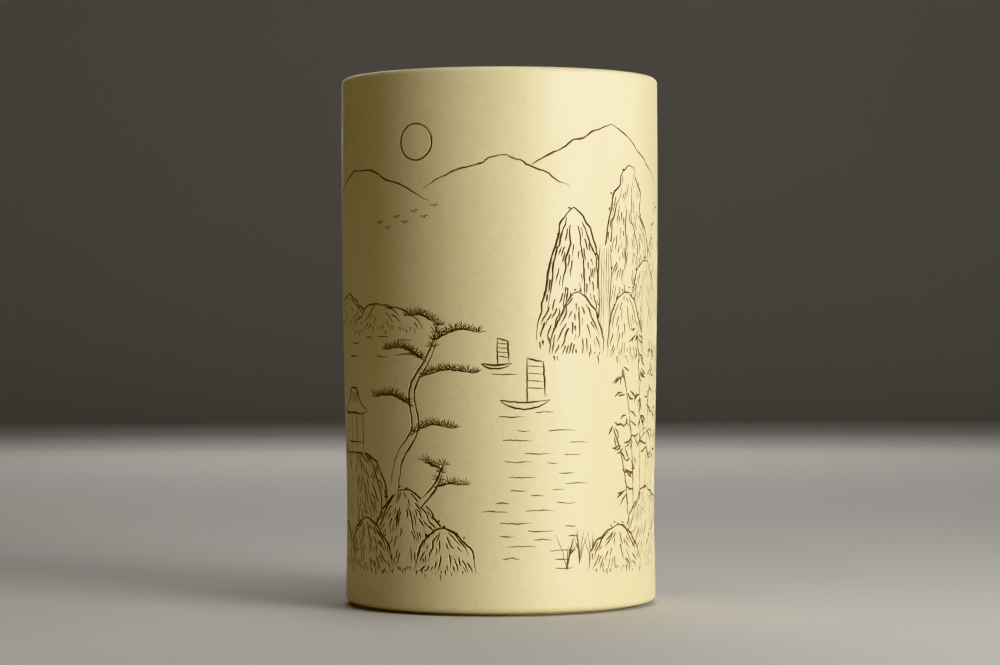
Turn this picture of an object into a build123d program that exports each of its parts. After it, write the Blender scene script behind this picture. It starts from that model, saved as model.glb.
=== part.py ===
from build123d import *
import os

# A brush pot of unglazed stoneware, built from slabs: a tall, almost straight cylinder, open at the top.
# Everything is in millimetres. +Z is up, the pot stands on Z = 0 and its axis is the Z axis. -Y is its front.
#
# wall         one long slab, bent round into a tube, that stands open by the width of its seam
# wall_seam    the bar of clay paste that closes the slab's two ends, at the back
# floor_disc   the round slab set inside the tube, level with the tube's underside
# corner_coil  the soft coil pressed into the corner between the floor and the wall
# foot_ring    the low strip under the joint of wall and floor, on which the pot stands

# Driving dimensions
height = 149.0  # from the surface it stands on to the rim
shoulder_radius = 45.0  # the widest part, high on the wall
shoulder_z = 112.0
rim_radius = 44.95
middle_radius = 44.4
middle_z = 62.0
waist_radius = 43.75  # the narrowest part, low on the wall
waist_z = 26.0
heel_radius = 44.1
heel_round = 1.7
rim_round_outside = 1.5
rim_round_inside = 1.1
mouth_radius = 40.0  # inside, at the rim
well_radius = 38.8  # inside, at the floor
taper_start_z = 14.0  # the inside is straight up to here, and opens slowly above
seam_width = 1.2
foot_height = 0.8
foot_inset = 5.0  # the foot ring's outside, measured in from the heel
foot_width = 5.4
foot_edge_round = 0.3
floor_thickness = 5.5
coil_size = 3.2  # how far the coil reaches along the floor and up the wall

# Sizes that follow from them
wall_bottom_z = foot_height
floor_top_z = foot_height + floor_thickness
foot_radius = heel_radius - foot_inset
foot_hole_radius = foot_radius - foot_width

PARTS_FOLDER = "parts"


def turned(outline):
    """The solid that a closed outline of (radius, height) points makes when it is turned about Z."""
    return revolve(Plane.XZ * make_face(Curve() + outline), Axis.Z)


def tube():
    """The closed wall, before its seam is taken out."""
    outside = Spline(
        (heel_radius, wall_bottom_z + heel_round),
        (waist_radius, waist_z),
        (middle_radius, middle_z),
        (shoulder_radius, shoulder_z),
        (rim_radius, height - rim_round_outside),
        tangents=[(0, 1), (0, 1)],
    )
    rim_top_outside = (rim_radius - rim_round_outside, height)
    rim_outside = RadiusArc(outside @ 1, rim_top_outside, -rim_round_outside)
    rim_top = Line(rim_top_outside, (mouth_radius + rim_round_inside, height))
    rim_foot_inside = (mouth_radius, height - rim_round_inside)
    rim_inside = RadiusArc(rim_top @ 1, rim_foot_inside, -rim_round_inside)
    inside = Polyline(
        rim_inside @ 1,
        (well_radius, taper_start_z),
        (well_radius, wall_bottom_z),
        (heel_radius - heel_round, wall_bottom_z),
    )
    heel = RadiusArc(inside @ 1, outside @ 0, -heel_round)
    return turned([outside, rim_outside, rim_top, rim_inside, inside, heel])


def seam_bar():
    """A block that holds the seam: as wide as the seam, and longer and deeper than the wall."""
    reach = 2 * shoulder_radius
    align = (Align.CENTER, Align.MIN, Align.CENTER)
    return Box(seam_width, reach, 2 * height, align=align)


def disc(radius, thickness):
    """A disc that lies on Z = 0."""
    return Cylinder(radius, thickness, align=(Align.CENTER, Align.CENTER, Align.MIN))


def floor_disc():
    return Pos(0, 0, wall_bottom_z) * disc(well_radius, floor_thickness)


def corner_coil():
    """A ring whose face is hollow, as a fingertip leaves it."""
    floor_edge = (well_radius - coil_size, floor_top_z)
    wall_edge = (well_radius, floor_top_z + coil_size)
    hollow = RadiusArc(floor_edge, wall_edge, -coil_size)
    back = Polyline(wall_edge, (well_radius, floor_top_z), floor_edge)
    return turned([hollow, back])


def foot_ring():
    ring = disc(foot_radius, foot_height) - disc(foot_hole_radius, foot_height)
    lower_edges = ring.edges().group_by(Axis.Z)[0]
    return fillet(lower_edges, foot_edge_round)


whole_wall = tube()
nodes = {
    "wall": whole_wall - seam_bar(),
    "wall_seam": whole_wall & seam_bar(),
    "floor_disc": floor_disc(),
    "corner_coil": corner_coil(),
    "foot_ring": foot_ring(),
}

os.makedirs(PARTS_FOLDER, exist_ok=True)
for name, shape in nodes.items():
    export_step(shape, f"{PARTS_FOLDER}/{name}.step")
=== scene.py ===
import math

import bpy
import numpy as np
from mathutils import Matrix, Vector
from mathutils.geometry import delaunay_2d_cdt


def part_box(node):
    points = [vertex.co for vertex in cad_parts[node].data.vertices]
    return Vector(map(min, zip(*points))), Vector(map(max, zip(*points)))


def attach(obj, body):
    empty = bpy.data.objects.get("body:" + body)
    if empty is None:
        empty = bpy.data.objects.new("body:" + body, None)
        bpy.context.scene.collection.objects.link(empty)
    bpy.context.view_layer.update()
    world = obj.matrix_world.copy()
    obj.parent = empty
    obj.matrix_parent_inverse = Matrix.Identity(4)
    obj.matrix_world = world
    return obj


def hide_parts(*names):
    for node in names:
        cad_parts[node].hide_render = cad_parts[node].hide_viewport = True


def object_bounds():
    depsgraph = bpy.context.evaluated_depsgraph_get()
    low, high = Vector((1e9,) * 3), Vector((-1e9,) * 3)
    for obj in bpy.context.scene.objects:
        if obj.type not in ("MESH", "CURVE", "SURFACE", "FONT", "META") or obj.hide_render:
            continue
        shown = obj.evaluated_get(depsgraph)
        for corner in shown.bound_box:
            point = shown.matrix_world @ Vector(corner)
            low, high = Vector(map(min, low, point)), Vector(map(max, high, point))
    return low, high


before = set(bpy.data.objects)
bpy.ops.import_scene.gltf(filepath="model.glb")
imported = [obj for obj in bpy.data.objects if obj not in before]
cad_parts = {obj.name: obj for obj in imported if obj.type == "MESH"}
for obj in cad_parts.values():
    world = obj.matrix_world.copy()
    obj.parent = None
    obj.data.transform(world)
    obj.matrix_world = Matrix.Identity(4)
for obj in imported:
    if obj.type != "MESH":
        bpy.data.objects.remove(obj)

# A slab-built stoneware brush pot with a landscape carved round its wall, and slip rubbed into the cuts.
#
# The landscape is drawn on the wall unrolled flat: u is the distance round the wall from the front, to the
# right when seen from outside, and z is the height, both in millimetres. Every cut is a stroke: the points
# of its middle line, and half its width at each of them. The wall's outside is then triangulated with the
# strokes' outlines in it, the strokes are sunk into it, and the slip lies in them as pieces of its own.

MM = 0.001
cad_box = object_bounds()
(low_x, _, low_z), (high_x, _, high_z) = [tuple(corner) for corner in cad_box]


def in_mm(metres):
    return round(metres / MM, 3)


# The pot, in millimetres. What the frame knows comes from the frame.
WIDEST = in_mm((high_x - low_x) / 2)
HEIGHT = in_mm(high_z - low_z)
FOOT_HEIGHT = in_mm(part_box("wall")[0][2] - low_z)
FLOOR_TOP = in_mm(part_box("floor_disc")[1][2] - low_z)
COIL_TOP = in_mm(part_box("corner_coil")[1][2] - low_z)
FOOT_RADIUS = in_mm(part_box("foot_ring")[1][0])
WELL = in_mm(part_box("floor_disc")[1][0])
FOOT_WIDTH = 5.4
FOOT_EDGE = 0.3
MOUTH = 40.0
TAPER_START = 14.0
HEEL_ROUND = 1.7
RIM_ROUND_OUTSIDE = 1.5
RIM_ROUND_INSIDE = 1.1
SHEET_LOW = FOOT_HEIGHT + HEEL_ROUND  # where the heel's rounding ends and the carved sheet begins
SHEET_HIGH = HEIGHT - RIM_ROUND_OUTSIDE
PROFILE = [
    (SHEET_LOW, WIDEST - 0.9), (26, WIDEST - 1.25), (62, WIDEST - 0.6), (112, WIDEST),
           (SHEET_HIGH, WIDEST - 0.05),
]
HALF_TURN = math.pi * WIDEST  # u at the back, in the middle of the seam
HALF_SEAM = 0.6
SHEET_END = HALF_TURN - HALF_SEAM
COLUMNS = np.round(np.linspace(-SHEET_END, SHEET_END, 181), 4)
LEVELS = np.round(np.linspace(SHEET_LOW, SHEET_HIGH, 38), 4)

STATION = 1.0  # between two points of a stroke
BROAD = 0.36  # a stroke at least this wide has bevels of bare clay beside its slip
BEVELLED = 1.5  # the width of such a stroke's groove, for a width of slip of 1
STEEPNESS = 0.8  # a groove's depth, for half its width of 1
DEEPEST = 0.28
WELD = 1e-7  # metres

rng = np.random.default_rng(31)


# ---------------------------------------------------------------- strokes


def smooth(points, step, bend=1.0):
    """The points joined, as points about a step apart: straight if bend is 0, by a curve if it is 1."""
    given = np.array(points, float)
    chord = np.linalg.norm(np.diff(given, axis=0), axis=1)
    at = np.concatenate([[0], np.cumsum(chord)])
    slope = np.gradient(given, at, axis=0)
    t = np.linspace(0, at[-1], max(3, round(at[-1] / step) + 1))
    k = np.clip(np.searchsorted(at, t, side="right") - 1, 0, len(chord) - 1)
    h = chord[k][:, None]
    s = (t - at[k])[:, None] / h
    start = (1 + 2 * s) * (1 - s) ** 2 * given[k] + s * (1 - s) ** 2 * h * slope[k]
    end = s * s * (3 - 2 * s) * given[k + 1] + s * s * (s - 1) * h * slope[k + 1]
    return (start + end) * bend + (given[k] * (1 - s) + given[k + 1] * s) * (1 - bend)


def at_share(path, share):
    """The points at the given shares of a path's length."""
    steps = np.linspace(0, 1, len(path))
    return np.stack([np.interp(share, steps, path[:, axis]) for axis in (0, 1)], axis=1)


def line(points, width, wobble=0.07, ends=(0.6, 0.25), bend=0.8, step=STATION):
    """One cut through the points. The tool presses unevenly, and the width dwindles at each end."""
    path = smooth(points, step, bend)
    count = len(path)
    path[1:-1] += rng.normal(0, wobble, (count - 2, 2))
    along = np.linspace(0, 1, count)
    press = rng.uniform(0.68, 1.32, 2 * len(points))
    swell = np.interp(along, [0, 0.2, 0.65, 1], [ends[0], 1, 1, ends[1]])
    return path, width / 2 * swell * np.interp(along, np.linspace(0, 1, len(press)), press)


def lines(width, *paths, **style):
    return [line(points, width, **style) for points in paths]


def crag(points, width, rough=0.3, run=(1.2, 3.4)):
    """An edge of rock: uneven straight runs with knuckles between them."""
    path = smooth(points, 0.3, bend=0.55)
    length = 0.3 * (len(path) - 1)
    knots = [0.0]
    while knots[-1] + run[1] < length:
        knots.append(knots[-1] + rng.uniform(*run))
    knuckles = at_share(path, np.array(knots + [length]) / length)
    knuckles[1:-1] += rng.normal(0, rough, (len(knuckles) - 2, 2))
    return line(knuckles, width, wobble=0.05, bend=0.35)


def between(first, second, side, share):
    """Points between two paths: on the first where side is 0, on the second where it is 1."""
    start, end = at_share(first, share), at_share(second, share)
    return start + (end - start) * np.reshape(side, (-1, 1))


def spaced(strokes, gap, drawn=()):
    """The strokes that keep a gap from each other, and from what is drawn."""
    near = np.concatenate([[(1e3, 1e3)]] + [path for path, _ in drawn])
    kept = []
    for path, half in strokes:
        if np.linalg.norm(path[:, None] - near, axis=2).min() > gap:
            kept.append((path, half))
            near = np.concatenate([near, path])
    return kept


def veins(first, second, count, across=(0, 1), down=(0, 1), length=(2.4, 6.5), width=(0.26, 0.4), fan=1.3):
    """Texture on a slope: strokes between its two edges that run the way they do and fan out downwards."""
    first, second = [path if isinstance(path, np.ndarray) else smooth(path, STATION) for path in (first,
                                                                                                  second)]
    run = max(len(first), len(second)) * STATION
    strokes = []
    for _ in range(count):
        side = rng.uniform(*across)
        start = down[0] + (down[1] - down[0]) * math.sqrt(rng.uniform())  # slopes are wider lower down
        share = np.linspace(start, min(start + rng.uniform(*length) / run, 1), 4)
        if (share[-1] - start) * run > 1.4:
            sides = side + fan * (side - 0.5) * (share - start) + rng.normal(0, 0.006, 4)
            inside = np.clip(sides, 0.05, 0.95)
            strokes.append(line(between(first, second, inside, share), rng.uniform(*width), 0.05,
                                (0.9, 0.25)))
    return strokes


def fringe(path, lean, spacing, length=(0.45, 1), width=(0.26, 0.4), stagger=0.25):
    """Short strokes side by side, which start on a path and lean the same way."""
    strokes = []
    for start in smooth(path, spacing):
        start = start + rng.normal(0, stagger, 2)
        reach = np.array(lean) * rng.uniform(*length)
        bow = np.array([-reach[1], reach[0]]) * rng.normal(0, 0.06)
        points = [start, start + reach * 0.5 + bow, start + reach + bow]
        strokes.append(line(points, rng.uniform(*width), wobble=0.03, ends=(1, 0.2)))
    return strokes


def mark(spot, length, width, tilt):
    """A short fat cut, such as a leaf or a dot of moss. The tilt is in degrees from level."""
    turn = math.radians(tilt)
    ahead = np.array([math.cos(turn), math.sin(turn)]) * length / 2
    bow = np.array([-ahead[1], ahead[0]]) * rng.uniform(-0.35, 0.35)
    path = np.array([spot - ahead, spot + bow, spot + ahead])
    return path, width / 2 * np.array([0.4, 1, 0.55]) * rng.uniform(0.85, 1.15)


def spread(spots, apart):
    """The spots that keep their distance from those before them."""
    kept = []
    for spot in spots:
        if all(np.linalg.norm(spot - other) > apart for other in kept):
            kept.append(spot)
    return kept


def dabs(spots, length, width, tilt, loose):
    return [
        mark(spot, length * rng.uniform(0.7, 1.2), width * rng.uniform(0.8, 1.15),
             tilt + rng.normal(0, loose))
        for spot in spots
    ]


def leaves(branch, count, reach, length=1.25, width=0.74, tilt=60, apart=1.08):
    """Leaves close about a branch."""
    path = smooth(branch, STATION)
    spots = path[rng.integers(0, len(path), count)] + rng.normal(0, reach, (count, 2))
    return dabs(spread(spots, apart), length, width, tilt, 40)


# ---------------------------------------------------------------- shapes that stand in front of each other


class Picture:
    """The strokes, from far to near. A nearer shape covers what is already drawn behind it."""

    def __init__(self):
        self.strokes = []
        self.motif = ""

    def add(self, *groups):
        for group in groups:
            self.strokes += [(path, half, self.motif) for path, half in group]

    def cover(self, shape):
        start, end = shape, np.roll(shape, -1, axis=0)
        kept = []
        for path, half, motif in self.strokes:
            if (path.max(axis=0) < shape.min(axis=0)).any() or (path.min(axis=0) > shape.max(axis=0)).any():
                kept.append((path, half, motif))
                continue
            u, z = path[:, 0, None], path[:, 1, None]
            spans = (start[:, 1] > z) != (end[:, 1] > z)
            rise = np.where(end[:, 1] == start[:, 1], 1, end[:, 1] - start[:, 1])
            crossing = start[:, 0] + (z - start[:, 1]) / rise * (end[:, 0] - start[:, 0])
            clear = (spans & (u < crossing)).sum(axis=1) % 2 == 0
            for run in np.split(np.arange(len(path)), np.flatnonzero(np.diff(clear)) + 1):
                if clear[run[0]] and len(run) > 1:
                    kept.append((path[run], half[run], motif))
        self.strokes = kept


picture = Picture()


def within(strokes, west, east):
    """The strokes that stay between two slopes, which run downwards."""
    kept = []
    for path, half in strokes:
        first, last = (np.interp(-path[:, 1], np.maximum.accumulate(-slope[:, 1]), slope[:, 0])
                       for slope in (west, east))
        if ((path[:, 0] > first + 0.4) & (path[:, 0] < last - 0.4)).all():
            kept.append((path, half))
    return kept


def mass(left, right, folds=(), texture=(0, 0), width=0.54, down=(0.05, 0.9), foot=0, moss=0, gap=0.85):
    """A mountain or a rock, by its two slopes from the top down. The folds run down between them, each by its
    side and the shares of the slope at which it starts and ends. Texture lies along both slopes and folds."""
    edges = [crag(left, width), crag(right, width)]
    west, east = edges[0][0], edges[1][0]
    picture.cover(np.concatenate([west[::-1], east]))
    thin = (0.56 * width, 0.84 * width)
    drawn = list(edges)
    for side, start, end in folds:
        sides = np.clip(side + (side - 0.5) * np.linspace(0, 0.5, 5), 0.08, 0.92)
        fold = crag(between(west, east, sides, np.linspace(start, end, 5)), width * 0.85, rough=0.3)
        shade = fold[0] + (-3.2 if side < 0.5 else 3.2, -1.2)
        drawn.append(fold)
        shading = veins(fold[0], shade, 2 * len(fold[0]), (0.25, 1), (0, 0.85), (1.8, 4.5), thin)
        drawn += spaced(within(shading, west, east), gap, drawn)
    for count, across in zip(texture, ((0.03, 0.44), (0.56, 0.97))):
        slope = veins(west, east, count, across, down, width=thin)
        drawn += spaced(within(slope, west, east), gap, drawn)
    if foot:
        base = [west[-1], (west[-1] + east[-1]) / 2 + (0, 0.8), east[-1]]
        drawn += spaced(fringe(base, (0.25, -foot), 0.7, (0.3, 1), thin, stagger=0.5), 0.55, drawn)
    picture.add(drawn)
    for edge in edges[: 2 * (moss > 0)]:
        spots = edge[0][rng.integers(0, 1 + len(edge[0]) // 2, moss)] + (0, 0.8)
        spots = spots + rng.normal(0, 0.35, (moss, 2))
        picture.add(dabs(spread(spots, 1.2), 0.9, 0.55, 20, 40))


def trunk(middle, base, top, width=0.42):
    """A tree's trunk: two lines that come nearer together towards the top."""
    path = smooth(middle, STATION)
    ring = outline(path, np.linspace(base, top, len(path)) / 2)
    picture.cover(ring)
    picture.add(lines(width, ring[: len(path) : 3], ring[len(path) :: 3]))


def shrub(root, height, lean=0.0, forks=6, width=0.26):
    """A small bare tree: a stem and forked twigs that end in buds."""
    root = np.array(root, float)
    stem = [root, root + (lean * 0.2, height * 0.5), root + (lean, height)]
    strokes = [line(stem, width * 1.2)]
    path = smooth(stem, 0.5)
    for fork in range(forks):
        share = 0.3 + 0.62 * fork / forks
        start = at_share(path, np.array([share]))[0]
        side = (1 if fork % 2 else -1) * rng.uniform(0.55, 0.9)
        reach = height * (1.1 - share) * rng.uniform(0.45, 0.75)
        tip = start + reach * np.array([side, 0.8])
        strokes.append(line([start, start + reach * np.array([side * 0.65, 0.3]), tip], width))
        strokes += dabs(spread(tip + rng.normal(0, 0.6, (3, 2)), 0.6), 0.5, 0.32, 60, 50)
    return strokes


def hill(top, reach, drop, swell=1.55, folds=3, density=0.55, **style):
    """A mountain or a rock with a rounded top, whose slopes fall in uneven steps. The reach is how far out
    its foot lies, to the left and to the right."""
    slopes = []
    for out in (-reach[0], reach[1]):
        t = np.linspace(0, 1, max(5, round(drop / 4))) ** 1.25
        t[1:-1] += rng.uniform(-0.35, 0.35, len(t) - 2) * np.diff(t)[:-1]
        bulge = swell * rng.uniform(0.85, 1.15)
        slope = np.stack([top[0] + out * (1 - (1 - t) ** bulge), top[1] - drop * t**bulge], axis=1)
        slope[1:-1] += rng.normal(0, 0.016 * drop, (len(t) - 2, 2))
        slopes.append(slope)
    sides = (np.arange(folds) + rng.uniform(0.25, 0.75, folds)) / max(folds, 1)
    creases = [(side, rng.uniform(0.1, 0.35), rng.uniform(0.55, 0.85)) for side in sides]
    count = round(density * drop * sum(reach))
    mass(*slopes, folds=creases, texture=(count, count), **style)


def pine(stem, boughs, base=3.0, fan=7):
    """A pine with level boughs, on which the needles stand in fans."""
    trunk(stem, base, base * 0.3, width=0.46)
    picture.add(lines(0.42, *boughs))
    for bough in boughs + [stem[-2:]]:
        for spot in smooth(bough, 2.1)[1:]:
            for t in np.radians(np.linspace(15, 165, fan)) + rng.normal(0, 0.08, fan):
                needle = np.array([math.cos(t), math.sin(t)]) * rng.uniform(1.7, 2.5)
                picture.add(lines(0.27, [spot + needle * 0.15, spot + needle]))


def bamboo(root, height, lean):
    """A culm in jointed lengths, with blades that hang from its upper joints."""
    root = np.array(root, float)
    joints = [root + (lean * share**2, height * share) for share in np.linspace(0, 1,
                                                                                round(height / 6) + 1)]
    for lower, upper in zip(joints, joints[1:]):
        picture.add(lines(0.44, [lower, upper + (lower - upper) * 0.1], ends=(1, 0.9)))
    for joint in joints[len(joints) // 3 :]:
        for side in rng.choice((-1, 1), 5):
            tilt, blade = rng.uniform(5, 80), rng.uniform(2.4, 4)
            away = np.array([side * math.cos(math.radians(tilt)), -math.sin(math.radians(tilt))])
            start = joint + rng.normal(0, 0.9, 2)
            picture.add([mark(start + away * (0.6 + blade / 2), blade, 0.62, -side * tilt)])


def ripples(low, high, count, gap=2.0):
    """Level strokes of water inside a rectangle."""
    strokes = []
    for u, z, reach in zip(rng.uniform(low[0], high[0], count), rng.uniform(low[1], high[1], count),
                           rng.uniform(1.5, 4.5, count)):
        strokes.append(line([(u - reach, z), (u, z + rng.uniform(-0.4, 0.5)), (u + reach, z - 0.1)], 0.28))
    picture.add(spaced(strokes, gap))


def outline(path, half):
    """The closed outline of a stroke of the given half widths."""
    ahead = np.gradient(path, axis=0)
    ahead /= np.linalg.norm(ahead, axis=1)[:, None] + 1e-9
    side = np.stack([-ahead[:, 1], ahead[:, 0]], axis=1) * half[:, None]
    return np.concatenate([path - side, (path + side)[::-1]])


# ---------------------------------------------------------------- the front


def far_ridges():
    for top, reach, drop in (((34, 134), (30, 25), 15), ((2, 125), (24, 18), 9), ((-47, 122), (20, 27), 9)):
        hill(top, reach, drop, swell=1.2, folds=0, density=0, width=0.44)


def moon_and_geese():
    turn = np.linspace(0.3, math.tau + 0.3, 15)
    picture.add([line([(-24 + 5 * math.cos(t), 129 + 5 * math.sin(t)) for t in turn], 0.4, wobble=0.03,
                      ends=(1, 1))])
    for step in range(1, 8):
        u, z = -40 + 3.1 * step, 104 + (step % 2) * 2.2 + step * 0.7
        picture.add(lines(0.32, [(u - 1.2, z + 0.5), (u - 0.4, z + 0.7), (u, z)],
                          [(u, z), (u + 0.5, z + 0.8), (u + 1.3, z + 0.6)]))


def peaks():
    for top, reach, drop in (
        ((41, 123), (13, 17), 46), ((60, 112), (12, 16), 38),
        ((21, 111), (11, 12), 36), ((50, 97), (12, 13), 26),
    ):
        hill(top, reach, drop, foot=3, moss=3, gap=0.62, folds=4)


def falls():
    left = [(29.6, 101), (29, 92), (29.4, 84), (28, 74)]
    right = [(33.4, 101), (33.8, 92), (33.2, 84), (35, 74)]
    picture.cover(np.array(left + right[::-1], float))
    picture.add(lines(0.42, left, right))
    for side in (0.2, 0.4, 0.6, 0.8):
        share = np.linspace(0.04, rng.uniform(0.7, 0.95), 5)
        picture.add(lines(0.28, between(np.array(left), np.array(right), side, share)))
    hill((22.6, 88), (9, 8), 17, foot=2.4, moss=2, gap=0.72)
    hill((39.4, 88), (7, 10), 18, foot=2.4, moss=2, gap=0.72)


def far_shore():
    for top, reach, drop in (((-56, 88), (16, 15), 9), ((-38, 85), (14, 16), 7)):
        hill(top, reach, drop, folds=2, density=0.3, width=0.42, foot=1.4, gap=0.9)
    ripples((-52, 70), (-24, 76), 24)


def boats():
    for u, z, size in ((7, 57, 1.0), (-1, 67.6, 0.6)):
        hull = [(u - 7 * size, z + 1.6 * size), (u - 4.6 * size, z), (u + 4 * size, z),
                (u + 7 * size, z + 1.8 * size)]
        picture.add(lines(0.42, hull, [hull[0], (u, z + size), hull[-1]]))
        mast, yard = (u + 0.4 * size, z + 13 * size), (u + 5 * size, z + 12 * size)
        picture.add(lines(0.38, [(u + 0.4 * size, z + size), mast], [mast, yard],
                          [yard, (u + 5.6 * size, z + 2.6 * size)]))
        for share in (0.24, 0.42, 0.6, 0.78):
            level = z + (2.4 + share * 11) * size
            picture.add(lines(0.26, [(u + 0.6 * size, level), (u + 5.3 * size, level - 0.3)]))
        ripples((u - 8 * size, z - 3.4), (u + 9 * size, z - 1.6), 5)


def pavilion():
    """An open pavilion with a roof of four slopes, on the left bank."""
    hill((-53, 46), (20, 19), 29, swell=2.3, foot=2, moss=2, gap=0.62, folds=4)
    eaves = [(-62, 55.4), (-59, 54.6), (-53, 54.8), (-47, 54.6), (-44, 55.4)]
    ridge = [(-55, 61.6), (-51, 61.6)]
    picture.cover(np.array([eaves[0], ridge[0], ridge[1], eaves[-1], (-46, 43.6), (-60, 43.6)]))
    picture.add(lines(0.44, eaves, [eaves[0], (-58, 57.6), ridge[0], ridge[1], (-48, 57.6), eaves[-1]]))
    picture.add(lines(0.36, *([(u, 54.6), (u, 43.8)] for u in (-59, -55, -51, -47)),
                      [(-60.6, 43.6), (-45.6, 43.6)]))
    picture.add(lines(0.28, [(-59, 46.6), (-47, 46.6)]))
    picture.add(fringe([(-56, 61), (-50, 61)], (0.1, -5), 1, width=(0.24, 0.32)))


def left_bank():
    for top, reach, drop in (((-30, 34), (15, 17), 22), ((-46, 26), (12, 13), 14), ((-17, 24), (9, 10), 12),
                             ((-63, 24), (12, 11), 12)):
        hill(top, reach, drop, foot=1.8, moss=3, gap=0.6, folds=4)


def pines():
    pine([(-33, 33), (-31, 42), (-25, 51), (-26, 61), (-20, 71), (-17, 79)],
         [[(-27, 49), (-20, 52), (-13, 51)], [(-25.6, 57), (-33, 60), (-40, 59.4)],
          [(-23.6, 65), (-15, 67), (-7, 66)],
          [(-21, 69), (-29, 73), (-35, 72.4)], [(-19, 75), (-11, 78), (-6, 77)],
          [(-17, 79), (-23, 82), (-27, 81.6)]])
    pine([(-24, 30), (-19, 35), (-16, 41)], [[(-19, 35), (-14, 36), (-10, 35.6)], [(-17, 40), (-22, 42)]],
         base=1.8, fan=6)


def right_shore():
    for top, reach, drop in (((72, 46), (17, 18), 24), ((54, 34), (17, 18), 19), ((37, 24), (11, 13), 12),
                             ((64, 24), (12, 14), 12)):
        hill(top, reach, drop, foot=2, moss=3, gap=0.62, folds=4)


def bamboo_grove():
    for u, z, height, lean in ((45, 29, 38, -6), (49, 31, 46, -3), (53, 33, 40, 4), (57, 32, 34, 8),
                               (42, 27, 24, -7)):
        bamboo((u, z), height, lean)


def lake():
    ripples((-4, 13), (24, 52), 120, gap=1.8)
    for u, z in ((23, 14), (27, 12.6), (19, 12.4)):
        for lean in rng.uniform(-3.4, 3.4, 7):
            picture.add(lines(0.28, [(u, z), (u + lean * 0.3, z + 4), (u + lean, z + rng.uniform(6, 10))]))


# ---------------------------------------------------------------- the sides and the back


def back_ridges():
    mass([(-96, 132), (-104, 128), (-112, 121), (-122, 118), (-136, 112)],
         [(-96, 132), (-88, 127), (-80, 124), (-72, 117)],
         width=0.44)
    mass([(92, 130), (84, 127), (76, 121), (68, 119)],
         [(92, 130), (102, 127.6), (112, 120), (124, 118), (137, 111)],
         width=0.44)


def side_cliffs():
    mass([(-83, 119), (-87, 117), (-88.6, 109), (-93, 105), (-95, 95), (-100, 86), (-102, 79)],
         [(-83, 119), (-78, 117.4), (-75, 111), (-71, 108), (-69.4, 98), (-66, 88), (-65, 80)],
         folds=[(0.28, 0.2, 0.56), (0.5, 0.12, 0.4), (0.74, 0.3, 0.7), (0.5, 0.5, 0.84)],
         texture=(190, 170), moss=3, foot=3)
    mass([(-106, 105), (-110, 103), (-112, 96), (-117, 92), (-120, 84), (-127, 76)],
         [(-106, 105), (-101.6, 101), (-100.4, 95), (-96, 89), (-95, 82), (-91, 74)],
         folds=[(0.3, 0.3, 0.7), (0.52, 0.16, 0.5), (0.74, 0.3, 0.7)], texture=(150, 150), moss=3,
         foot=2.6, width=0.5)
    mass([(-78, 95), (-82, 93), (-83, 87), (-87, 82), (-91, 71)],
         [(-78, 95), (-74.6, 91), (-71.6, 88), (-71, 80), (-66, 70)],
         folds=[(0.3, 0.2, 0.7), (0.64, 0.2, 0.6)], texture=(130, 120), moss=2, foot=2.6)


def side_bank():
    mass([(-90, 35), (-96, 34), (-99, 30.6), (-107, 28), (-112, 22), (-121, 19)],
         [(-90, 35), (-85, 33), (-80, 32.6), (-77, 28), (-70, 25), (-66, 18)],
         folds=[(0.2, 0.3, 0.8), (0.4, 0.2, 0.7), (0.6, 0.2, 0.7), (0.8, 0.3, 0.8)], texture=(150, 150),
         moss=4, foot=2)
    mass([(-76, 24.4), (-81, 22.6), (-84, 18), (-89, 14)], [(-76, 24.4), (-72, 22), (-70.6, 18), (-66, 13)],
         folds=[(0.4, 0.2, 0.8), (0.7, 0.3, 0.8)], texture=(60, 60), foot=1.8)
    mass([(-111, 21.4), (-116, 20), (-119, 16), (-127, 13)],
         [(-111, 21.4), (-106, 19), (-104, 15.6), (-99, 12.6)],
         folds=[(0.4, 0.2, 0.8), (0.64, 0.2, 0.7)], texture=(60, 60), foot=1.6)


def old_pine():
    pine([(-90, 32), (-88, 40), (-91, 48), (-95, 56), (-93, 64), (-95, 72)],
         [[(-91, 48), (-85, 51), (-79, 50)], [(-95, 57), (-102, 60), (-108, 59)],
          [(-93, 64), (-86, 66.6), (-80, 66)],
          [(-95, 71), (-100, 74), (-105, 73.4)]])


def far_bank():
    mass([(98, 47), (90, 46), (80, 48)], [(98, 47), (108, 44), (118, 38), (130, 30)], width=0.42)
    picture.add(fringe([(84, 45), (94, 44.6), (104, 42.6)], (-0.3, -3.4), 0.75))
    mass([(88, 41), (83, 40.4), (80, 35), (76, 33), (72, 24), (68, 20)],
         [(88, 41), (94, 39.4), (96, 34), (101, 31), (103, 24), (109, 19)],
         folds=[(0.24, 0.3, 0.7), (0.46, 0.16, 0.5), (0.7, 0.2, 0.7)], texture=(130, 130), moss=3, foot=2,
         width=0.46)
    mass([(113, 32), (109, 30.6), (107, 25), (101, 17)], [(113, 32), (117, 28), (121, 26), (126, 16)],
         folds=[(0.4, 0.2, 0.7), (0.68, 0.3, 0.8)], texture=(80, 80), moss=2, foot=1.8, width=0.46)


def hut():
    """A small thatched hut behind its own trees."""
    roof = [(84, 55.6), (88, 60.4), (95, 60.4), (99, 55.6)]
    picture.cover(np.array(roof + [(97.4, 48), (85.6, 48)], float))
    picture.add([line(roof + [roof[0]], 0.4, bend=0, ends=(0.8, 0.8))])
    picture.add(lines(0.34, *([(u, 55.2), (u, 48.4)] for u in (85.8, 89.6, 93.4, 97.2)),
                      [(84.6, 48.6), (98.6, 48.4)]))
    picture.add(lines(0.26, [(85.8, 51), (89.6, 51)], [(93.4, 51), (97.2, 51)]))
    picture.add(fringe([(88, 60), (95, 60)], (0.6, -3.8), 0.8, width=(0.22, 0.3)))


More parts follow.
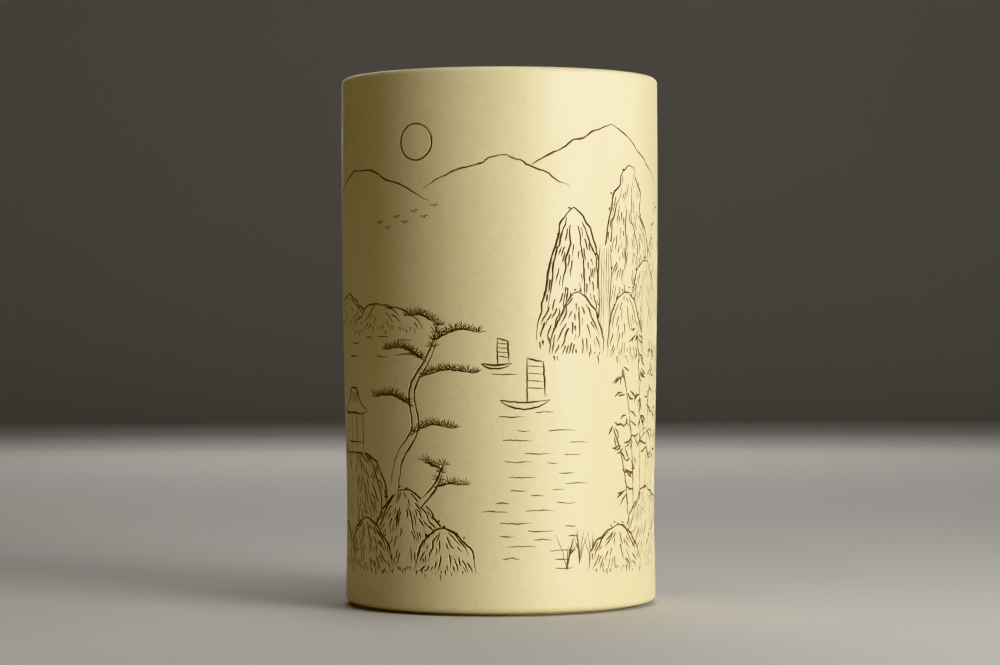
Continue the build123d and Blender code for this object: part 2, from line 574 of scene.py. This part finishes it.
def back_trees():
    for u, z, height, lean, forks in ((80, 48, 9, -1, 9), (102, 46, 12, 2, 10), (106, 44.6, 8, 2.4, 7),
                                      (77, 48.4, 6, -2, 5)):
        picture.add(shrub((u, z), height, lean, forks, width=0.32))
    stem = [(111, 42), (110, 50), (112.4, 58), (111, 66), (113, 74)]
    boughs = [[(111.6, 58), (117, 62), (121, 61)], [(111.2, 64), (105, 68), (101, 67)],
              [(113, 73), (118, 77)]]
    for bough in boughs + [stem[3:]]:
        picture.add(leaves(bough, 110, 2.3))
    trunk(stem, 2.4, 0.9)
    picture.add(lines(0.34, *boughs))


def open_water():
    hull = [(-133.6, 47.6), (-131.6, 45.4), (-126, 45.2), (-123.6, 47.4)]
    picture.add(lines(0.4, hull, [(-133.6, 47.6), (-128.6, 46.8), (-123.6, 47.4)],
                      [(-130.6, 47), (-129, 49.8), (-127, 47)]))
    for u, z, reach in ((-130, 43.6, 7), (-124, 42.4, 4), (-112, 50, 6), (-116, 48.8, 3), (128, 52, 6),
                        (124, 50.8, 3),
                        (132, 38, 5), (-104, 44, 5), (72, 62, 5), (-70, 46, 5)):
        picture.add(lines(0.24, [(u - reach / 2, z), (u, z + 0.25), (u + reach / 2, z - 0.1)]))


def birds():
    for u, z, span in ((118, 104, 3), (122, 106.4, 2.4), (126, 103.6, 2.2), (113, 107, 2)):
        picture.add(lines(0.3, [(u - span / 2, z + 0.5), (u - span / 5, z + 0.7), (u, z)],
                          [(u, z), (u + span / 5, z + 0.8), (u + span / 2, z + 0.7)]))


def reeds():
    for u, z in ((131, 13), (134, 12), (128, 12.4), (-131, 12.6), (-134.6, 13)):
        for lean in rng.uniform(-3.4, 3.4, 7):
            picture.add(lines(0.26, [(u, z), (u + lean * 0.3, z + 3.4),
                                     (u + lean, z + rng.uniform(5, 7.6))]))


MOTIFS = [
    far_ridges, back_ridges, moon_and_geese, peaks, falls, side_cliffs, far_shore, lake, boats, side_bank,
          pavilion,
    left_bank, pines, old_pine, far_bank, right_shore, hut, back_trees, bamboo_grove, open_water, birds,
          reeds,
]
for motif in MOTIFS:
    picture.motif = motif.__name__
    motif()
strokes = [(path, np.maximum(half, 0.05)) for path, half, _ in picture.strokes]
motif_of_stroke = np.array([name for _, _, name in picture.strokes])


# ---------------------------------------------------------------- cutting

groove_share = np.array([BEVELLED if 2 * half.max() > BROAD else 1.0 for _, half in strokes])


def nearest_cut(points):
    """For each point, how deep the wall is cut there, how far the point is from the middle of the nearest
    stroke, as a share of half its slip's width, and that stroke's number."""
    order = np.argsort(points[:, 0])
    ordered = points[order]
    depth = np.zeros(len(points))
    share = np.full(len(points), 9.0)
    owner = np.full(len(points), -1)
    for number, (path, half) in enumerate(strokes):
        reach = groove_share[number]
        margin = half.max() * reach + 0.01
        low, high = path.min(axis=0) - margin, path.max(axis=0) + margin
        span = slice(*np.searchsorted(ordered[:, 0], [low[0], high[0]]))
        near = np.flatnonzero((ordered[span, 1] > low[1]) & (ordered[span, 1] < high[1])) + span.start
        if len(near) == 0:
            continue
        start, along = path[:-1], np.diff(path, axis=0)
        offset = ordered[near][:, None] - start[None]
        t = np.clip((offset * along).sum(axis=2) / (along ** 2).sum(axis=1), 0, 1)
        gap = np.linalg.norm(offset - t[:, :, None] * along, axis=2)
        half_there = half[:-1] * (1 - t) + half[1:] * t
        best = np.argmin(gap / half_there, axis=1)
        row = np.arange(len(near))
        nearness = (gap / half_there)[row, best]
        deepest = np.minimum(half_there[row, best] * reach * STEEPNESS, DEEPEST)
        index = order[near]
        depth[index] = np.maximum(depth[index], deepest * np.clip(1 - nearness / reach, 0, 1))
        closer = (nearness < reach) & (nearness < share[index])
        share[index[closer]] = nearness[closer]
        owner[index[closer]] = number
    return depth, share, owner


def carved_sheet():
    """The wall's outside unrolled: its points and its triangles."""
    points, edges = [], []

    def chain(row, closed):
        first = len(points)
        points.extend(map(Vector, row))
        edges.extend((first + i, first + i + 1) for i in range(len(row) - 1))
        if closed:
            edges.append((first + len(row) - 1, first))

    border = [(u, SHEET_LOW) for u in COLUMNS] + [(COLUMNS[-1], z) for z in LEVELS[1:-1]]
    border += [(u, SHEET_HIGH) for u in COLUMNS[::-1]] + [(COLUMNS[0], z) for z in LEVELS[-2:0:-1]]
    chain(border, closed=True)
    grid = np.array([(u, z) for z in LEVELS[1:-1] for u in COLUMNS[1:-1]])
    points.extend(map(Vector, grid[nearest_cut(grid)[2] < 0]))
    for (path, half), reach in zip(strokes, groove_share):
        chain(outline(path, half), closed=True)
        chain(path, closed=False)
        if reach > 1:
            chain(outline(path, half * reach), closed=True)
    found = delaunay_2d_cdt(points, edges, [], 0, 1e-4)
    return np.round([tuple(p) for p in found[0]], 4), np.array([tuple(f) for f in found[2]])


# ---------------------------------------------------------------- mesh work

profile_curve = smooth(PROFILE, 1.0)


def radius_at(z):
    return np.interp(z, profile_curve[:, 0], profile_curve[:, 1])


def rolled(u, z, radius):
    """Points of the unrolled sheet, on the wall, in metres."""
    turn = np.asarray(u) / WIDEST
    return np.stack([radius * np.sin(turn), -radius * np.cos(turn), z + 0 * turn], axis=-1) * MM


def welded(points, faces):
    """The same faces with points in the same place made one, and which of the faces are left."""
    cells = np.round(points / WELD).astype(np.int64)
    _, first, same = np.unique(cells, axis=0, return_index=True, return_inverse=True)
    same = same.ravel().tolist()
    faces = [tuple(dict.fromkeys(same[i] for i in face)) for face in faces]
    left = [len(face) > 2 for face in faces]
    return points[first], [face for face, kept in zip(faces, left) if kept], left


def mesh_object(name, points, faces, material):
    mesh = bpy.data.meshes.new(name)
    mesh.from_pydata(points.tolist(), [], faces)
    mesh.polygons.foreach_set("use_smooth", [True] * len(mesh.polygons))
    mesh.materials.append(material)
    thing = bpy.data.objects.new(name, mesh)
    bpy.context.scene.collection.objects.link(thing)
    return thing


def round_rows(centre, radius, start, end, count=9):
    """Rows of a rounding: each is its radius, its height and its normal's two parts."""
    turn = np.radians(np.linspace(start, end, count))
    normal = np.stack([np.cos(turn), np.sin(turn)], axis=1)
    return np.hstack([np.array(centre) + radius * normal, normal])


def plain_rows(points):
    """Rows of a straight or gently bent stretch, with the air on the right of the way it runs."""
    points = np.array(points, float)
    ahead = np.gradient(points, axis=0)
    ahead /= np.linalg.norm(ahead, axis=1)[:, None]
    return np.hstack([points, np.stack([ahead[:, 1], -ahead[:, 0]], axis=1)])


def swept(rows, u):
    """A patch of surface: rows carried along u. It has points, faces and a normal for each face's corners."""
    count = len(u)
    points = np.concatenate([rolled(u, z, r) for r, z, _, _ in rows])
    normals = np.concatenate([rolled(u, up / MM, out / MM) for _, _, out, up in rows])
    faces = [
        (row * count + c, row * count + c + 1, (row + 1) * count + c + 1, (row + 1) * count + c)
        for row in range(len(rows) - 1)
        for c in range(count - 1)
    ]
    return points, faces, [normals[list(face)] for face in faces]


def sealed(name, patches, material):
    """One piece of the patches, welded where they meet."""
    points, faces, normals = [], [], []
    for patch_points, patch_faces, patch_normals in patches:
        first = sum(map(len, points))
        faces += [tuple(first + i for i in face) for face in patch_faces]
        points.append(patch_points)
        normals += list(patch_normals)
    points, faces, left = welded(np.concatenate(points), faces)
    piece = mesh_object(name, points, faces, material)
    normals = np.concatenate([corner for corner, kept in zip(normals, left) if kept])
    piece.data.normals_split_custom_set(normals.tolist())
    return piece


def section_end(sections, u, first):
    """The flat end of a swept stretch, which closes it. The section runs once round the clay."""
    loop = np.concatenate([rolled(np.full(len(rows) - 1, u), rows[:-1, 1],
                                  rows[:-1, 0]) for rows in sections])
    face = tuple(range(len(loop)))
    side = -1 if first else 1
    normal = np.array([math.cos(u / WIDEST), math.sin(u / WIDEST), 0]) * side
    return loop, [face if first else face[::-1]], [np.tile(normal, (len(face), 1))]


# ---------------------------------------------------------------- materials


def textured(name):
    """A new material, and helpers that add noise, ramps and mixtures to it."""
    material = bpy.data.materials.new(name)
    material.use_nodes = True
    nodes, links = material.node_tree.nodes, material.node_tree.links
    coordinates = nodes.new("ShaderNodeTexCoord")

    def noise(scale, detail, stretch=(1, 1, 1)):
        mapping = nodes.new("ShaderNodeMapping")
        mapping.inputs["Scale"].default_value = stretch
        links.new(coordinates.outputs["Object"], mapping.inputs["Vector"])
        node = nodes.new("ShaderNodeTexNoise")
        node.inputs["Scale"].default_value = scale
        node.inputs["Detail"].default_value = detail
        links.new(mapping.outputs["Vector"], node.inputs["Vector"])
        return node.outputs["Fac"]

    def ramp(source, *stops):
        node = nodes.new("ShaderNodeValToRGB")
        for element, (position, colour) in zip(node.color_ramp.elements, stops):
            element.position = position
            element.color = (*colour, 1)
        links.new(source, node.inputs["Fac"])
        return node.outputs["Color"]

    def multiplied(first, second):
        node = nodes.new("ShaderNodeMix")
        node.data_type = "RGBA"
        node.blend_type = "MULTIPLY"
        node.inputs["Factor"].default_value = 1
        links.new(first, node.inputs["A"])
        links.new(second, node.inputs["B"])
        return node.outputs["Result"]

    def bump(source, strength, distance):
        node = nodes.new("ShaderNodeBump")
        node.inputs["Strength"].default_value = strength
        node.inputs["Distance"].default_value = distance
        links.new(source, node.inputs["Height"])
        links.new(node.outputs["Normal"], nodes["Principled BSDF"].inputs["Normal"])

    return material, nodes["Principled BSDF"], links, noise, ramp, multiplied, bump


def clay_material(name, pale, deep, speck, roughness, relief):
    """Fine stoneware: soft clouds of tone, fine specks, and a sheen that comes and goes."""
    material, shader, links, noise, ramp, multiplied, bump = textured(name)
    clouds = ramp(noise(22, 3, (1, 1, 0.6)), (0.3, deep), (0.7, pale))
    mottle = ramp(noise(480, 2), (0.35, (0.965, 0.96, 0.94)), (0.65, (1, 1, 1)))
    specks = ramp(noise(3000, 2), (0.33, speck), (0.44, (1, 1, 1)))
    links.new(multiplied(multiplied(clouds, mottle), specks), shader.inputs["Base Color"])
    sheen = ramp(noise(70, 3), (0.3, (roughness - 0.04,) * 3), (0.7, (roughness + 0.05,) * 3))
    links.new(sheen, shader.inputs["Roughness"])
    bump(noise(1400, 3), relief, 0.0001)
    return material


def slip_material(name, dark, light):
    """Iron slip: matt, and thinner and redder in places."""
    material, shader, links, noise, ramp, _, bump = textured(name)
    links.new(ramp(noise(500, 4), (0.3, dark), (0.7, light)), shader.inputs["Base Color"])
    bump(noise(2500, 2), 0.3, 0.00005)
    shader.inputs["Roughness"].default_value = 0.75
    shader.inputs["Specular IOR Level"].default_value = 0.2
    return material


clay = clay_material("clay", (0.785, 0.7, 0.41), (0.735, 0.645, 0.365), (0.92, 0.88, 0.82), 0.42, 0.2)
bare_clay = clay_material("bare_clay", (0.7, 0.62, 0.36), (0.62, 0.54, 0.305), (0.8, 0.74, 0.66), 0.62, 0.6)
iron_slip = slip_material("iron_slip", (0.036, 0.014, 0.006), (0.11, 0.042, 0.018))
# Lighter, redder slip for some motifs. It is partly a thinner fill in far and small motifs and partly painted
# light: it lightens the motifs on the lit right of the front, where the light falls.
thin_and_lit_slip = slip_material("thin_and_lit_slip", (0.08, 0.032, 0.014), (0.21, 0.1, 0.046))
THIN_AND_LIT_SLIP_MOTIFS = {
    "far_ridges", "back_ridges", "moon_and_geese", "falls", "far_shore", "lake", "far_bank", "right_shore",
                 "hut",
    "back_trees", "bamboo_grove", "open_water", "birds",
}


# ---------------------------------------------------------------- the wall and its slip

sheet, triangles = carved_sheet()
depth, slip_share, _ = nearest_cut(sheet)
_, share, owner = nearest_cut(sheet[triangles].mean(axis=1))


def sheet_patch():
    """The carved outside. Its normals are the true surface's, except in the grooves, whose faces are flat."""
    u, z = sheet.T
    points = rolled(u, z, radius_at(z) - depth)
    turn = u / WIDEST
    lean = (radius_at(z - 1) - radius_at(z + 1)) / 2
    true = np.stack([np.sin(turn), -np.cos(turn), lean], axis=1)
    true /= np.linalg.norm(true, axis=1)[:, None]
    corners = points[triangles]
    flat = np.cross(corners[:, 1] - corners[:, 0], corners[:, 2] - corners[:, 0])
    flat /= np.linalg.norm(flat, axis=1)[:, None] + 1e-20
    normals = np.where((owner >= 0)[:, None, None], flat[:, None], true[triangles])
    return points, [tuple(t) for t in triangles.tolist()], normals


def outside_rows(sunk=0.0):
    """The outside between the heel's rounding and the rim's."""
    radius = radius_at(LEVELS)
    radius[1:-1] -= sunk
    return plain_rows(np.stack([radius, LEVELS], axis=1))


def wall_sections(proud=0.0):
    """The rest of the wall's section, from the outside's upper edge, over the rim and down the inside, to
    its lower edge. The inside has the faint ridges of a wiping tool, and may stand proud of them."""
    rim, heel = radius_at(SHEET_HIGH), radius_at(SHEET_LOW)
    inner_top = HEIGHT - RIM_ROUND_INSIDE
    z = np.linspace(inner_top, TAPER_START, 36)
    fade = np.clip((inner_top - z) / 9, 0, 1) * np.clip((z - TAPER_START) / 3, 0, 1)
    ridges = 0.035 * np.sin(z * 1.7) + 0.025 * np.sin(z * 3.9 + 1)
    inside = np.stack([np.interp(z, [TAPER_START, inner_top], [WELL, MOUTH]) - fade * (ridges + proud), z],
                      axis=1)
    return [
        round_rows((rim - RIM_ROUND_OUTSIDE, SHEET_HIGH), RIM_ROUND_OUTSIDE, 0, 90),
        plain_rows([(rim - RIM_ROUND_OUTSIDE, HEIGHT), (MOUTH + RIM_ROUND_INSIDE, HEIGHT)]),
        round_rows((MOUTH + RIM_ROUND_INSIDE, inner_top), RIM_ROUND_INSIDE, 90, 180),
        plain_rows(inside),
        plain_rows([(WELL, TAPER_START), (WELL, FOOT_HEIGHT)]),
        plain_rows([(WELL, FOOT_HEIGHT), (heel - HEEL_ROUND, FOOT_HEIGHT)]),
        round_rows((heel - HEEL_ROUND, SHEET_LOW), HEEL_ROUND, 270, 360),
    ]


def wall():
    sections = wall_sections()
    loop = [outside_rows()] + sections
    ends = [section_end(loop, COLUMNS[0], True), section_end(loop, COLUMNS[-1], False)]
    return sealed("carved_wall", [sheet_patch()] + [swept(rows, COLUMNS) for rows in sections] + ends, clay)


def seam():
    """The paste that closes the slab, tooled a little low outside and left proud inside."""
    u = np.linspace(SHEET_END, 2 * HALF_TURN - SHEET_END, 5)
    loop = [outside_rows(sunk=0.04)] + wall_sections(proud=0.3)
    ends = [section_end(loop, u[0], True), section_end(loop, u[-1], False)]
    return sealed("seam_strip", [swept(rows, u) for rows in loop] + ends, clay)


def parted(faces):
    """The sheet's faces with points of their own. Faces that touch at no more than a point don't share it,
    and draw back from it a little. It returns each point's number on the sheet, its place, and the faces."""
    same = list(range(faces.size))

    def first_of(corner):
        while same[corner] != corner:
            corner = same[corner]
        return corner

    sides = {}
    for corner, (start, end) in enumerate(zip(faces.ravel().tolist(),
                                              np.roll(faces, -1, axis=1).ravel().tolist())):
        beyond = corner + 1 if corner % 3 < 2 else corner - 2
        sides[start, end] = (corner, beyond)
        for here, there in zip(sides.get((end, start), ()), (beyond, corner)):
            low, high = sorted((first_of(here), first_of(there)))
            same[high] = low
    _, first, own = np.unique([first_of(corner) for corner in same], return_index=True, return_inverse=True)
    number = faces.ravel()[first]
    middle = np.zeros((len(number), 2))
    np.add.at(middle, own, np.repeat(sheet[faces].mean(axis=1), 3, axis=0))
    middle /= np.bincount(own)[:, None]
    shared = np.bincount(number)[number] > 1
    spots = np.where(shared[:, None], 0.9 * sheet[number] + 0.1 * middle, sheet[number])
    return number, spots, own.reshape(-1, 3)


def slip(name, faces, material):
    """The slip in one motif's cuts: a thin solid, hollow on top, on the grooves' floor."""
    used, spots, local = parted(faces)
    u, z = spots.T
    floor = depth[used]
    top = rolled(u, z, radius_at(z) - floor * (0.5 + 0.5 * np.clip(slip_share[used], 0, 1)))
    bottom = rolled(u, z, radius_at(z) - floor - 0.01)
    count = len(used)
    rim = set()
    for a, b, c in local.tolist():
        for start, end in ((a, b), (b, c), (c, a)):
            if (end, start) in rim:
                rim.remove((end, start))
            else:
                rim.add((start, end))
    solid = [tuple(t) for t in local.tolist()] + [tuple(t[::-1] + count) for t in local]
    solid += [(b, a, a + count, b + count) for a, b in sorted(rim)]
    return mesh_object(name, np.concatenate([top, bottom]), solid, material)


# ---------------------------------------------------------------- the turned pieces


def turned(name, section, columns=180):
    """A ring or a disc. The section gives, for an angle, (radius, z) points once round the clay."""
    turns = np.linspace(0, math.tau, columns, endpoint=False)
    outlines = [np.array(section(t)) for t in turns]
    points = np.concatenate([rolled(np.full(len(o), t * WIDEST), o[:, 1], o[:, 0]) for t,
                             o in zip(turns, outlines)])
    size = len(outlines[0])
    faces = []
    for column in range(columns):
        here, there = column * size, (column + 1) % columns * size
        faces += [(here + i, there + i, there + (i + 1) % size, here + (i + 1) % size) for i in range(size)]
    points, faces, _ = welded(points, faces)
    piece = mesh_object(name, points, faces, bare_clay)
    piece.data.set_sharp_from_angle(angle=math.radians(50))
    return piece


def uneven(turn, size):
    """The small waver of a hand-made edge, in millimetres."""
    return size * (0.6 * math.sin(3 * turn + 1) + 0.4 * math.sin(7 * turn + 2))


def floor_section(turn):
    """The floor slab, with the shallow rings of the tool that pressed it down."""
    radius = np.linspace(WELL, 0, 66)
    rings = 0.05 * np.sin(radius * 1.5 + 0.5 * math.sin(2 * turn)) + 0.03 * np.sin(radius * 3.7)
    top = FLOOR_TOP - 0.09 + rings * np.clip(radius / 6, 0, 1)
    return [(WELL, FOOT_HEIGHT)] + list(zip(radius, top)) + [(0, FOOT_HEIGHT)]


def coil_section(turn):
    """The coil's hollow face, dented by a fingertip all the way round."""
    size = COIL_TOP - FLOOR_TOP
    sweep = np.radians(np.linspace(360, 270, 9))
    dent = size + (0.18 + 0.14 * math.cos(23 * turn + math.sin(5 * turn))) * np.sin(np.linspace(0, math.pi,
                                                                                                9))
    edge = WELL - size + uneven(turn, 0.16)
    face = [(edge + d * math.cos(a), COIL_TOP + d * math.sin(a)) for a, d in zip(sweep, dent)]
    face[0], face[-1] = (WELL, COIL_TOP), (edge, FLOOR_TOP)
    return [(WELL, FLOOR_TOP)] + face


def foot_section(turn):
    outer = FOOT_RADIUS - 0.1 + uneven(turn, 0.1)
    inner = FOOT_RADIUS - FOOT_WIDTH + uneven(turn + 1, 0.15)
    lower_outside = round_rows((outer - FOOT_EDGE, FOOT_EDGE), FOOT_EDGE, 270, 360, 6)[:, :2]
    lower_inside = round_rows((inner + FOOT_EDGE, FOOT_EDGE), FOOT_EDGE, 180, 270, 6)[:, :2]
    return [*lower_outside, (outer, FOOT_HEIGHT), (inner, FOOT_HEIGHT), *lower_inside]


# ---------------------------------------------------------------- the pieces on the frame


def place(piece, slot, *nodes):
    """The piece rides on the pot's one body, and may stand for CAD nodes."""
    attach(piece, "root")
    if nodes:
        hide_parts(*nodes)


place(wall(), "clay", "wall")
place(seam(), "clay", "wall_seam")
place(turned("floor_slab", floor_section), "clay", "floor_disc")
place(turned("finger_coil", coil_section), "clay", "corner_coil")
place(turned("foot_strip", foot_section), "clay", "foot_ring")
for motif in MOTIFS:
    name = motif.__name__
    faces = triangles[(share < 1) & (motif_of_stroke[owner] == name)]
    place(slip("slip_" + name, faces, thin_and_lit_slip if name in THIN_AND_LIT_SLIP_MOTIFS else iron_slip), "iron_slip")


# ---------------------------------------------------------------- the stage, the lights and the camera


def stage():
    """A pale floor that sweeps up into a backdrop."""
    bend_start, bend_radius, top = 1.1, 0.9, 2.6
    rows = [(-3.0, 0.0), (bend_start, 0.0)]
    rows += [
        (bend_start + bend_radius * math.sin(t), bend_radius * (1 - math.cos(t)))
        for t in np.linspace(0, math.pi / 2, 16)[1:]
    ]
    rows += [(bend_start + bend_radius, top)]
    points = np.array([(x, y, z) for y, z in rows for x in (-3.2, 3.2)])
    faces = [(2 * i, 2 * i + 1, 2 * i + 3, 2 * i + 2) for i in range(len(rows) - 1)]
    material = bpy.data.materials.new("stage")
    material.use_nodes = True
    shader = material.node_tree.nodes["Principled BSDF"]
    shader.inputs["Base Color"].default_value = (0.6, 0.575, 0.53, 1)
    shader.inputs["Roughness"].default_value = 0.9
    mesh_object("floor", points, faces, material)


def soft_light(name, power, size, azimuth, elevation, distance, colour=(1, 1, 1), gloss_only=False):
    """A square light that faces the pot's middle. The azimuth is from the front to the right, in degrees."""
    data = bpy.data.lights.new(name, "AREA")
    data.energy = power
    data.size = size
    data.color = colour
    light = bpy.data.objects.new(name, data)
    light.visible_diffuse = not gloss_only
    bpy.context.scene.collection.objects.link(light)
    turn, rise = math.radians(azimuth), math.radians(elevation)
    away = Vector((math.sin(turn) * math.cos(rise), -math.cos(turn) * math.cos(rise), math.sin(rise)))
    light.location = Vector((0, 0, HEIGHT * MM / 2)) + away * distance
    light.rotation_euler = away.to_track_quat("Z", "Y").to_euler()


stage()
soft_light("key", 10.8, 0.5, 50, 8, 0.95)
soft_light("sheen", 1.5, 0.25, 90, 20, 0.4, gloss_only=True)
soft_light("glow", 0.6, 0.25, 50, 20, 0.4, gloss_only=True)
soft_light("overhead", 1.6, 1.2, 20, 80, 1.4)
soft_light("warm_fill", 0.36, 0.4, -60, 4, 0.7, (1, 0.74, 0.46))
soft_light("behind", 3.2, 0.8, 180, 25, 1.1)
soft_light("into_well", 0.9, 0.3, 20, 86, 0.6)

world = bpy.data.worlds.new("world")
bpy.context.scene.world = world
world.use_nodes = True
world.node_tree.nodes["Background"].inputs["Color"].default_value = (1, 0.9, 0.8, 1)
world.node_tree.nodes["Background"].inputs["Strength"].default_value = 0.02
bpy.context.scene.view_settings.view_transform = "Khronos PBR Neutral"

camera_data = bpy.data.cameras.new("camera")
camera_data.lens = 105
camera_data.sensor_width = 36
camera = bpy.data.objects.new("camera", camera_data)
bpy.context.scene.collection.objects.link(camera)
camera.location = (0, -0.8325, 0.0777)
camera.rotation_euler = (math.radians(90 - 0.05), math.radians(0.18), 0)
bpy.context.scene.camera = camera
